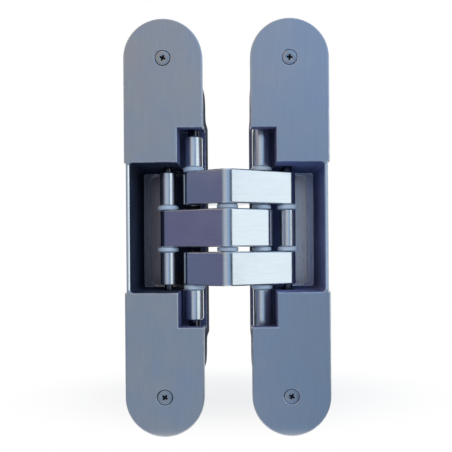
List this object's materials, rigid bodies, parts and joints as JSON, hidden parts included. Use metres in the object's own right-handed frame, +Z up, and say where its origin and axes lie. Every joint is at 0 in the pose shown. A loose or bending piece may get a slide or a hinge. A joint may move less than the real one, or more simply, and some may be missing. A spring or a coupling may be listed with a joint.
{
  "type": "concealed hinge",
  "caption": "Concealed door hinge: round-ended mortise leaves joined by interlocking dog-leg link bars that pivot on pins and slide in grooves as it folds shut.",
  "frame": {"origin": "middle of the frame leaf's screw pair, on the back of its faceplate", "axes": "+X from the frame leaf towards the door leaf, +Y into the mortise, +Z up along the pins"},
  "size_m": [0.0886, 0.0364, 0.18],
  "materials": {
    "satin_leaf": "satin",
    "brushed_bar": "brushed",
    "burnished_pin": "dark, burnished",
    "polished_sleeve": "polished",
    "bearing_washer": "semi-matte moulded",
    "screw_steel": "satin"
  },
  "bodies": {
    "frame_leaf": {"frame_leaf_body": "satin_leaf", "frame_leaf_screw_upper": "screw_steel", "frame_leaf_screw_lower": "screw_steel", "frame_pivot_pin_upper": "burnished_pin", "frame_pivot_pin_lower": "burnished_pin", "frame_pivot_sleeve_upper": "polished_sleeve", "frame_pivot_sleeve_lower": "polished_sleeve", "frame_pivot_washer_upper": "bearing_washer", "frame_pivot_washer_lower": "bearing_washer"},
    "outer_link": {"outer_link_upper": "brushed_bar", "outer_link_lower": "brushed_bar", "knuckle_pin": "burnished_pin", "knuckle_washer_upper": "bearing_washer", "knuckle_washer_lower": "bearing_washer", "outer_slide_pin": "burnished_pin", "outer_slide_sleeve": "polished_sleeve", "outer_slide_washer_upper": "bearing_washer", "outer_slide_washer_lower": "bearing_washer"},
    "inner_link": {"inner_link_bar": "brushed_bar", "inner_slide_pin": "burnished_pin", "inner_slide_washer_upper": "bearing_washer", "inner_slide_washer_lower": "bearing_washer", "inner_slide_sleeve_upper": "polished_sleeve", "inner_slide_sleeve_lower": "polished_sleeve"},
    "door_leaf": {"door_leaf_body": "satin_leaf", "door_leaf_screw_upper": "screw_steel", "door_leaf_screw_lower": "screw_steel", "door_pivot_pin": "burnished_pin", "door_pivot_sleeve_upper": "polished_sleeve", "door_pivot_sleeve_lower": "polished_sleeve", "door_pivot_washer_upper": "bearing_washer", "door_pivot_washer_lower": "bearing_washer", "door_pivot_spacer_upper": "bearing_washer", "door_pivot_spacer_lower": "bearing_washer"}
  },
  "joints": [
    {"name": "frame_pivot", "type": "hinge", "parent": "frame_leaf", "child": "outer_link", "pos_m": [0.012, 0.008, 0], "axis": [0, 0, -1], "range_deg": [0, 104.09]},
    {"name": "knuckle", "type": "hinge", "parent": "outer_link", "child": "inner_link", "pos_m": [0.0273, 0.0025, 0], "axis": [0, 0, -1], "range_deg": [-28.19, 0]},
    {"name": "door_pivot", "type": "hinge", "parent": "inner_link", "child": "door_leaf", "pos_m": [0.0426, 0.008, 0], "axis": [0, 0, -1], "range_deg": [0, 104.09]}
  ],
  "couplings": [
    {"joint": "knuckle", "follows": "frame_pivot", "ratio": -0.27081},
    {"joint": "door_pivot", "follows": "frame_pivot", "ratio": 1}
  ]
}
